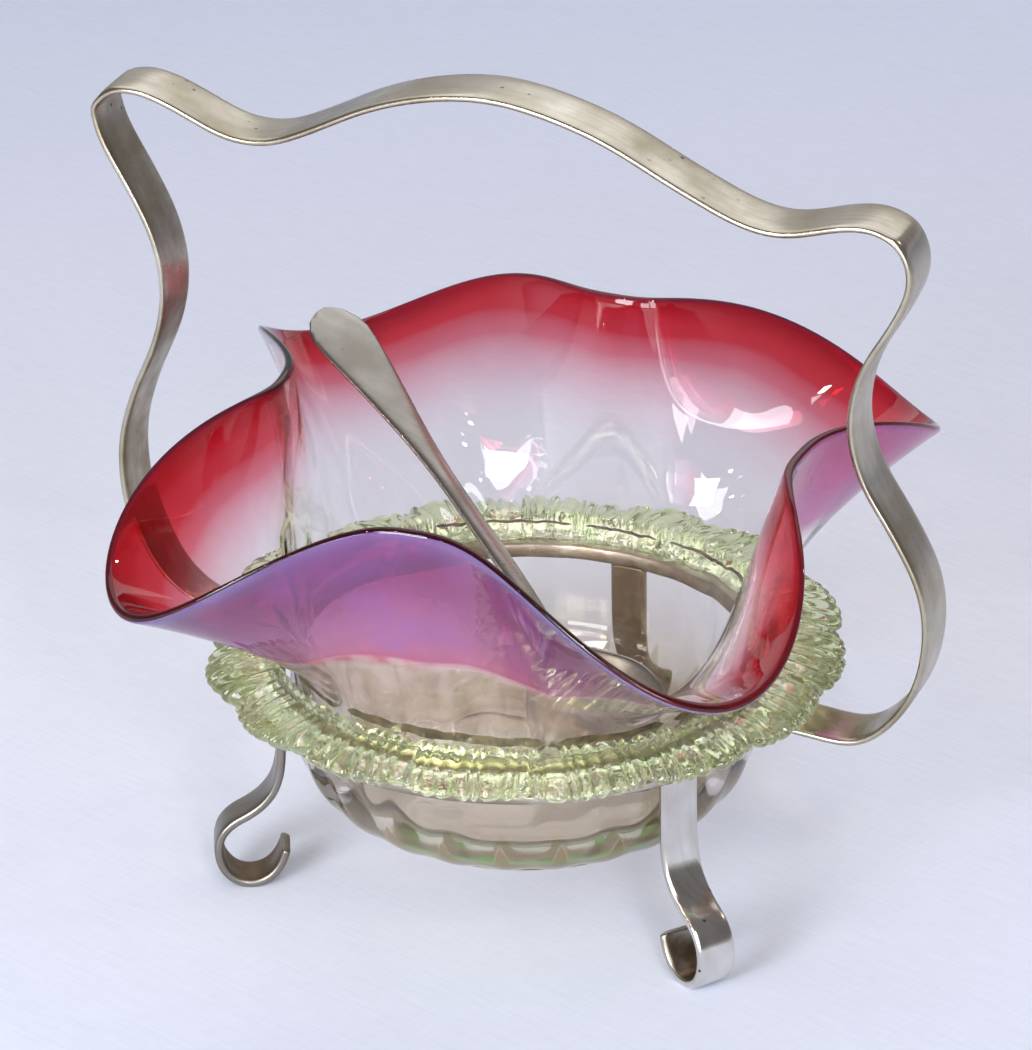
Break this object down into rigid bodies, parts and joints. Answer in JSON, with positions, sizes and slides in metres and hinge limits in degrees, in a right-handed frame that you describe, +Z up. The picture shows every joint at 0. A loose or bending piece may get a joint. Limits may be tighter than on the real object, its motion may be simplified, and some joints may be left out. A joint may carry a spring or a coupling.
{
  "type": "preserve dish",
  "caption": "Plated preserve stand with scrolled legs and a bent strip handle, holding a ruffled cranberry glass dish with a frilled collar and a spoon.",
  "frame": {"origin": "middle of the whole object's footprint, on the surface it stands on", "axes": "+Z up; the handle bends in the XZ plane, so +X runs along its span; +Y is away from the pictured side"},
  "size_m": [0.1716, 0.1448, 0.1682],
  "materials": {
    "plated_silver": "aged silver plate over nickel brass, softly polished, brown tarnish in the scrolls",
    "solder": "dull soft solder, plated over",
    "spoon_silver": "satin silver plate with fine wear",
    "cranberry_glass": "clear glass shading to cranberry at the rim, lilac outside, glossy",
    "green_glass": "pale yellow-green glass, pinched and ribbed"
  },
  "bodies": {
    "stand": {"support_ring": "plated_silver", "carrying_handle": "plated_silver", "leg_rear": "plated_silver", "leg_left": "plated_silver", "leg_right": "plated_silver", "solder_leg_rear": "solder", "solder_leg_left": "solder", "solder_leg_right": "solder", "solder_handle_right": "solder", "solder_handle_left": "solder"},
    "dish": {"glass_dish": "cranberry_glass", "frill_collar": "green_glass"},
    "spoon": {"preserve_spoon": "spoon_silver"}
  },
  "joints": [
    {"name": "dish_lift", "type": "slide", "parent": "stand", "child": "dish", "axis": [0, 0, 1], "range_m": [0, 0.036]},
    {"name": "spoon_lift", "type": "slide", "parent": "dish", "child": "spoon", "axis": [0, 0, 1], "range_m": [0, 0.085]}
  ]
}
